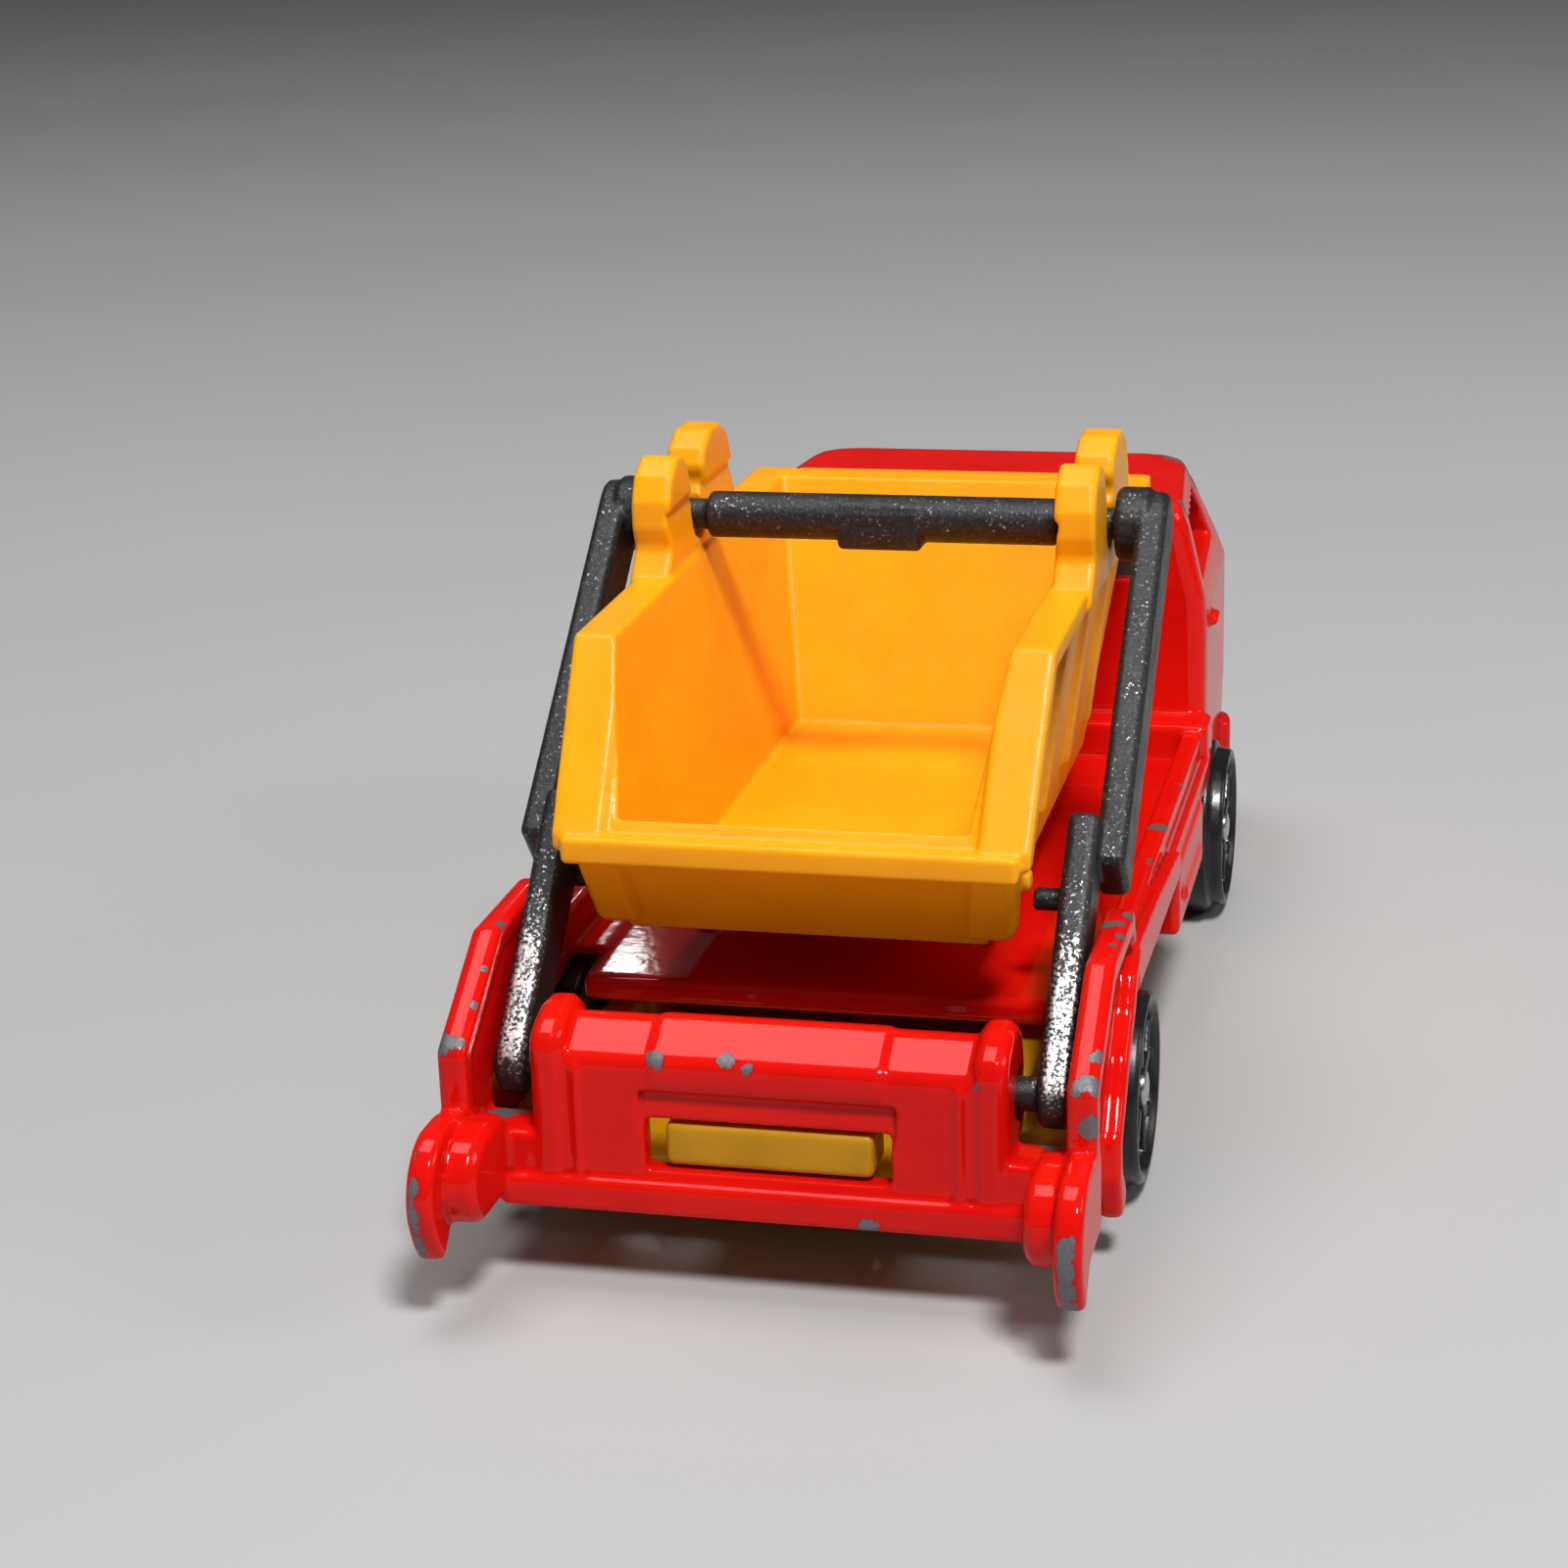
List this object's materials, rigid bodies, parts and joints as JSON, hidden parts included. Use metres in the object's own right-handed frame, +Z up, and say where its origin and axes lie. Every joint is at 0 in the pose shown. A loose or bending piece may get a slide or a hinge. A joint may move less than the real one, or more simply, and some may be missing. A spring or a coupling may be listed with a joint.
{
  "type": "toy skip loader truck",
  "caption": "Small die-cast toy skip-loader truck: red cab and deck, yellow hanging skip on a dark swinging frame, spoked wheels.",
  "frame": {"origin": "on the ground, under the middle of the truck's box", "axes": "+X to the truck's right, +Y forward along the truck, +Z up"},
  "size_m": [0.027, 0.0687, 0.0293],
  "materials": {
    "red_enamel": "gloss enamel",
    "mustard_plastic": "satin moulded",
    "clear_plastic": "polished",
    "cab_plastic": "satin moulded",
    "gunmetal": "worn dark cast metal",
    "yellow_plastic": "semi-gloss moulded",
    "steel": "bright",
    "black_plastic": "semi-gloss moulded"
  },
  "bodies": {
    "chassis": {"body": "red_enamel", "base_plate": "mustard_plastic", "glazing": "clear_plastic", "cab_interior": "cab_plastic", "front_axle": "steel", "rear_axle": "steel"},
    "frame": {"lifting_frame": "gunmetal"},
    "skip": {"skip": "yellow_plastic"},
    "wheel_front_left": {"wheel_front_left": "black_plastic"},
    "wheel_front_right": {"wheel_front_right": "black_plastic"},
    "wheel_rear_left": {"wheel_rear_left": "black_plastic"},
    "wheel_rear_right": {"wheel_rear_right": "black_plastic"}
  },
  "joints": [
    {"name": "frame_swing", "type": "hinge", "parent": "chassis", "child": "frame", "pos_m": [0, -0.02605, 0.00835], "axis": [1, 0, 0], "range_deg": [-4, 130]},
    {"name": "skip_swing", "type": "hinge", "parent": "frame", "child": "skip", "pos_m": [0, -0.00405, 0.026], "axis": [1, 0, 0], "range_deg": [-130, 4]},
    {"name": "front_left_spin", "type": "hinge", "parent": "chassis", "child": "wheel_front_left", "pos_m": [-0.012, 0.01845, 0.0045], "axis": [1, 0, 0], "continuous": true},
    {"name": "front_right_spin", "type": "hinge", "parent": "chassis", "child": "wheel_front_right", "pos_m": [0.012, 0.01845, 0.0045], "axis": [1, 0, 0], "continuous": true},
    {"name": "rear_left_spin", "type": "hinge", "parent": "chassis", "child": "wheel_rear_left", "pos_m": [-0.012, -0.01595, 0.0045], "axis": [1, 0, 0], "continuous": true},
    {"name": "rear_right_spin", "type": "hinge", "parent": "chassis", "child": "wheel_rear_right", "pos_m": [0.012, -0.01595, 0.0045], "axis": [1, 0, 0], "continuous": true}
  ],
  "couplings": [
    {"joint": "skip_swing", "follows": "frame_swing", "ratio": -1}
  ]
}
